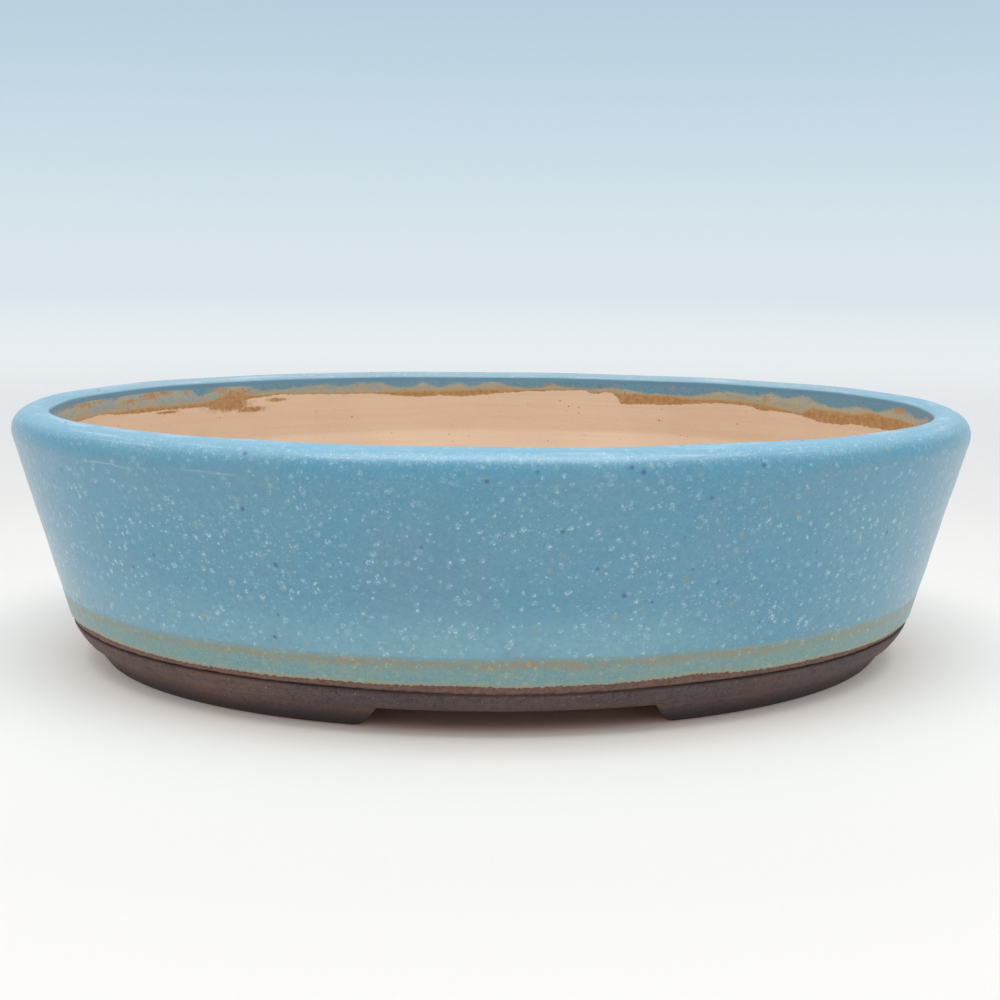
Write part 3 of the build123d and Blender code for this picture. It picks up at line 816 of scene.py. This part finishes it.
def foot(name, side):
    """One C-shaped foot: side is 1 for +X, -1 for -X."""
    top_inset = HALF_LENGTH - FOOT_HALF_LENGTH
    bottom_inset, top_width, bottom_width = 30.4, 22.0, 13.5
    up = np.array([0, 0.012, 0.045, 0.1, 0.17, 0.3, 0.45, 0.6, 0.75, 0.88, 1.0])
    low = FOOT_HEIGHT * up
    tuck = rounded(low, 1.2) * 0.8
    outer = bottom_inset + (top_inset - bottom_inset) * up + tuck - 0.2 * np.sin(up * pi)
    inner_bottom = bottom_inset + bottom_width
    inner = inner_bottom + (top_inset + top_width - inner_bottom) * up - tuck
    # How far the foot's ends stand from the middle of the pot, rounded at the table.
    gap = FOOT_GAP_HALF_TOP + 5.5 * (1 - up) + 2.2 * (1 - np.minimum(low / 2.0, 1)) ** 2
    inset = np.concatenate((outer, inner[::-1]))
    z, gap = (np.concatenate((half, half[::-1])) for half in (low, gap))
    # The angle at which each line of the section reaches the foot's end.
    angles = np.linspace(0, pi / 2, 4000)
    normal_x, normal_y = HALF_DEPTH * np.cos(angles), HALF_LENGTH * np.sin(angles)
    inward = np.outer(normal_x / np.hypot(normal_x, normal_y), inset)
    x = HALF_LENGTH * np.cos(angles)[:, None] - inward
    last = np.array([np.interp(gap[k], x[::-1, k], angles[::-1]) for k in range(len(inset))])
    end_part, foot_length = 0.012, 260
    near_end = end_part * np.array([0, 0.06, 0.2, 0.45, 1.0])
    middle = np.linspace(end_part, 1 - end_part, 320)[1:-1]
    step = np.concatenate((near_end, middle, 1 - near_end[::-1]))
    turn = last * (2 * step[:, None] - 1)
    # Soft edges around both end faces.
    pull = rounded(np.minimum(step, 1 - step) * foot_length, 0.8)
    count = len(low)
    inset = inset + pull[:, None] * np.repeat((1, -1), count)
    caps = [(k, k + 1, 2 * count - 2 - k, 2 * count - 1 - k) for k in range(count - 1)]
    return ring_piece(name, turn if side > 0 else pi - turn, inset, z, FOOT_CLAY, caps, sharp=50)


def slab_holes():
    """Middle and radius of the drain holes and the tie-wire holes, from the record's mounts."""
    holes = []
    for mount in frame["record"]["mounts"]:
        x, y = (value / MM for value in mount["pos_m"][:2])
        dims = mount["dims"]
        if mount["kind"] == "bore":
            holes.append(((x, y), dims["r_mm"]))
        elif mount["kind"] == "bolt_pattern":
            reach_x, reach_y = dims["spacing_x_mm"] / 2, dims["spacing_y_mm"] / 2
            holes += [((x + i * reach_x, y + j * reach_y), dims["hole_r_mm"])
                      for i in (-1, 1) for j in (-1, 1)]
    return holes


HOLES = slab_holes()


def tube_quads(index):
    """Faces of a grid of points whose rows join up into a tube."""
    after = np.roll(index, -1, 0)
    quads = np.stack((index[:, :-1], index[:, 1:], after[:, 1:], after[:, :-1]), -1)
    return quads.reshape(-1, 4).tolist()


def floor_slab():
    """The slab: a rounded edge, and flat faces cut by the drain and tie-wire holes."""
    turn = around(720)
    top = lean_inset(SLAB_TOP_Z, GLAZE)
    drop_in, bulge = 4.4, 0.3
    part = np.linspace(0, 1, 12)
    edge_z = SLAB_TOP_Z - 0.9 + (FOOT_HEIGHT + 0.3 - SLAB_TOP_Z + 0.9) * part
    edge = np.stack((top + (drop_in - 0.6) * part - bulge * np.sin(part * pi), edge_z), -1)
    section = np.concatenate((
        [(top + 1.9, SLAB_TOP_Z), (top + 0.9, SLAB_TOP_Z),
         (top + 0.4, SLAB_TOP_Z - 0.1), (top + 0.14, SLAB_TOP_Z - 0.38)], edge,
        [(top + drop_in - 0.35, FOOT_HEIGHT + 0.08), (top + drop_in, FOOT_HEIGHT)]))
    inset, z = per_turn(turn, section)
    dip = seam_dip(turn)[:, None] * smooth(FOOT_HEIGHT + 1, SLAB_TOP_Z - 0.5, z)
    rings = place(turn[:, None], inset, z - dip * (np.arange(z.shape[1]) > 1))
    points = rings.reshape(-1, 3).tolist()
    washed = [1.0] * len(points)
    index = np.arange(len(points)).reshape(rings.shape[:2])
    faces = tube_quads(index)
    top_loop, bottom_loop = index[:, 0].tolist(), index[:, -1].tolist()

    hole_tops, hole_bottoms = [], []
    for (x, y), radius in HOLES:
        soft, count = (0.8, 96) if radius > 5 else (0.35, 40)
        bend = np.radians([0, 30, 60, 90])
        reach, drop = radius + soft * (1 - np.sin(bend)), soft * (1 - np.cos(bend))
        reach = np.concatenate((reach, reach[::-1]))
        tube_z = np.concatenate((SLAB_TOP_Z - drop, (FOOT_HEIGHT + drop)[::-1]))
        angle = around(count)
        uneven = 1 + 0.006 * np.cos(3 * angle + x) + 0.005 * np.cos(5 * angle + y)
        painted_glow_strength = np.stack((x + np.outer(np.cos(angle) * uneven, reach),
                         y + np.outer(np.sin(angle) * uneven, reach),
                         np.tile(tube_z, (count, 1))), -1)
        grid = len(points) + np.arange(painted_glow_strength[..., 0].size).reshape(painted_glow_strength.shape[:2])
        points += painted_glow_strength.reshape(-1, 3).tolist()
        washed += [0, 0, 0, 0.3, 0.7, 1, 1, 1] * count
        faces += tube_quads(grid)
        hole_tops.append(grid[:, 0].tolist())
        hole_bottoms.append(grid[:, -1].tolist())

    def flat(outer, inner_loops, up):
        """Triangles between the slab's edge and the holes, with inner points for even faces."""
        loops = [outer] + inner_loops
        ids = [i for loop in loops for i in loop]
        flat_points = [Vector(points[i][:2]) for i in ids]
        sides, base = [], 0
        for loop in loops:
            sides += [(base + k, base + (k + 1) % len(loop)) for k in range(len(loop))]
            base += len(loop)
        reach, spacing = HALF_LENGTH - lean_inset(SLAB_TOP_Z) - 8, 7.0
        for x in np.arange(-reach, reach + 1, spacing):
            for y in np.arange(-reach, reach + 1, spacing):
                inside = (x / (reach - 4)) ** 2 + (y / (reach - 44)) ** 2 < 1
                clear = all((x - cx) ** 2 + (y - cy) ** 2 > (radius + 5) ** 2 for (cx, cy), radius in HOLES)
                if inside and clear:
                    flat_points.append(Vector((x, y)))
        places, _, triangles, sources = delaunay_2d_cdt(flat_points, sides, [], 0, 1e-4)[:4]
        known = {}
        for k, source in enumerate(sources):
            if source and source[0] < len(ids):
                known[k] = ids[source[0]]
            else:
                known[k] = len(points)
                points.append([*places[k], points[outer[0]][2]])
                washed.append(0.0 if up else 1.0)
        for triangle in triangles:
            a, b, c = (places[k] for k in triangle)
            centre = (a + b + c) / 3
            if any((centre - Vector(middle)).length < radius - 0.3 for middle, radius in HOLES):
                continue
            face = [known[k] for k in triangle]
            faces.append(face if ((b - a).cross(c - a) > 0) == up else face[::-1])

    for i in top_loop:
        washed[i] = 0.0
    flat(top_loop, hole_tops, True)
    flat(bottom_loop, hole_bottoms, False)
    piece = finish_mesh("floor_slab_form", points, faces, WASHED_CLAY, 50)
    write_field(piece, "washed", washed)
    return piece


PIECES = (
    (floor_slab(), "floor_slab", "brown_clay"),
    (wall_clay(), "wall", "bare_clay"),
    (rim_clay(), "rim", "bare_clay"),
    (seam_coil(), "seam_coil", "bare_clay"),
    (foot("foot_left_form", -1), "foot_left", "brown_clay"),
    (foot("foot_right_form", 1), "foot_right", "brown_clay"),
    (outer_coat(), "glaze_outer", "blue_glaze"),
    (base_band(), "glaze_base_band", "green_glaze"),
    (lip_coat(), "glaze_lip", "lip_glaze"),
)
for piece, node, slot in PIECES:
    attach(piece, "root")
    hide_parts(node)


# ---- floor, light and camera

def stage_floor():
    """A pale table that fades with distance into the backdrop's colour."""
    radii, steps = (0.25, 0.5, 1.0, 2.0, 4.0, 9.0, 30.0), 96
    points = [(0.0, 0.0, 0.0)] + [(r * cos(a), r * sin(a), 0.0) for r in radii for a in around(steps)]
    after = [(k + 1) % steps for k in range(steps)]
    faces = [(0, 1 + k, 1 + after[k]) for k in range(steps)]
    for inner in range(1, 1 + (len(radii) - 1) * steps, steps):
        outer = inner + steps
        faces += [(inner + k, outer + k, outer + after[k], inner + after[k]) for k in range(steps)]
    mesh = bpy.data.meshes.new("stage_floor")
    mesh.from_pydata(points, [], faces)
    floor = new_object("stage_floor", mesh)
    paint = Paint("stage_floor", roughness=0.7, specular=0.2)
    radius = paint.vector("LENGTH", paint.where, output="Value")
    near = paint.vector("LENGTH", paint.stretched(0.78, 1, 1), output="Value")
    # Paler close to the pot, painted light that lifts the shade around the foot; darker further out.
    table = paint.mix(paint.span(near, 0.14, 0.235), (0.93, 0.91, 0.878), (0.815, 0.80, 0.785))
    table = paint.tinted(table, (radius, 0.27, 0.45, 1, (0.765, 0.755, 0.75)))
    # Painted shade close to the foot, warm at the front, and an emitted glow around the foot that paints
    # the light the pot throws back.
    side = paint.axis(1)
    front = paint.span(side, 0.08, 0.01)
    table = paint.mix(paint.times(paint.span(near, 0.114, 0.100), front), table, (0.90, 0.65, 0.51))
    painted_glow_strength = paint.times(paint.span(near, 0.102, 0.114, 0.010, 0.125), paint.span(near, 0.160, 0.114),
                       paint.span(near, 0.05, 0.085), paint.span(side, 0.08, 0.01, 0.25, 1.0))
    pale = (1.0, 0.84, 0.70)
    glow = paint.mix(front, pale, paint.mix(paint.span(near, 0.103, 0.116), (1.0, 0.28, 0.14), pale))
    paint.set(paint.shader, {"Base Color": table, "Emission Color": glow, "Emission Strength": painted_glow_strength})
    far = paint.mix(paint.span(radius, 1.2, 5.0), (0.815, 0.855, 0.885), HORIZON)
    backdrop = paint.add("ShaderNodeEmission", 0, {"Color": far, "Strength": 1.0})
    blend = paint.add("ShaderNodeMixShader", 0, {
        0: paint.span(radius, 0.35, 1.6), 1: paint.shader.outputs[0], 2: backdrop})
    paint.set(paint.tree.nodes["Material Output"], {0: blend})
    mesh.materials.append(paint.material)


def stage_world():
    """Pale blue backdrop above the horizon, near-white below it, dimmer behind the camera."""
    world = bpy.data.worlds.new("studio")
    world.use_nodes = True
    bpy.context.scene.world = world
    sky = Graph(world.node_tree)
    _, depth, height = sky.split(sky.add("ShaderNodeTexCoord", "Generated", {}))
    half = sky.add("ShaderNodeMath", 0, {0: height, 1: 0.5, 2: 0.5}, operation="MULTIPLY_ADD")
    shades = sky.add("ShaderNodeValToRGB", 0, {0: half})
    stops = ((0.0, (0.80, 0.83, 0.84)), (0.5, HORIZON), (0.518, (0.655, 0.76, 0.825)),
             (0.55, (0.56, 0.69, 0.78)), (0.584, (0.47, 0.62, 0.73)), (0.66, (0.56, 0.65, 0.71)),
             (0.8, (0.90, 0.90, 0.90)), (1.0, (1.08, 1.06, 1.04)))
    elements = shades.node.color_ramp.elements
    while len(elements) < len(stops):
        elements.new(0.5)
    for element, (position, colour) in zip(elements, stops):
        element.position, element.color = position, (*colour, 1)
    front = sky.span(depth, -0.35, -0.85, 0.0, 0.55)
    # The dimming starts well above the horizon, so no view sees its edge.
    high = sky.span(height, 0.25, 0.5, 0.0, -1.0)
    strength = sky.add("ShaderNodeMath", 0, {0: front, 1: high, 2: 1.0}, operation="MULTIPLY_ADD")
    sky.set(sky.tree.nodes["Background"], {0: shades, 1: strength})


def stage_light():
    """A warm softbox above the pot and a little in front of it, aimed at its middle."""
    place_at, target = Vector((0, -0.38, 1.35)), Vector((0, 0, 0.05))
    light = bpy.data.lights.new("softbox", "AREA")
    light.shape, light.size, light.size_y = "RECTANGLE", 1.3, 0.6
    light.energy, light.color = 8.8, (1.0, 0.985, 0.96)
    lamp = new_object("softbox", light)
    lamp.location = place_at
    lamp.rotation_euler = (target - place_at).to_track_quat("-Z", "Y").to_euler()


def stage_camera():
    """The photograph's camera, from a fit to the pot's outlines: millimetres and radians."""
    distance, aside, height = 539.92, -1.73, 151.5
    heading, pitch, roll = 0.0725, 0.1751, 0.0112
    ahead, across = cos(heading), sin(heading)
    forward = Vector((across * cos(pitch), ahead * cos(pitch), -sin(pitch)))
    level = Vector((ahead, -across, 0))
    raised = level.cross(forward)
    right = cos(roll) * level + sin(roll) * raised
    up = cos(roll) * raised - sin(roll) * level
    camera = new_object("camera", bpy.data.cameras.new("camera"))
    camera.matrix_world = Matrix((right, up, -forward)).transposed().to_4x4()
    camera.location = Vector((-ahead * aside - across * distance,
                              across * aside - ahead * distance, height)) * MM
    camera.data.lens, camera.data.sensor_width = 50.41, 36
    bpy.context.scene.camera = camera


stage_floor()
stage_world()
stage_light()
stage_camera()
bpy.context.scene.view_settings.view_transform = "Standard"
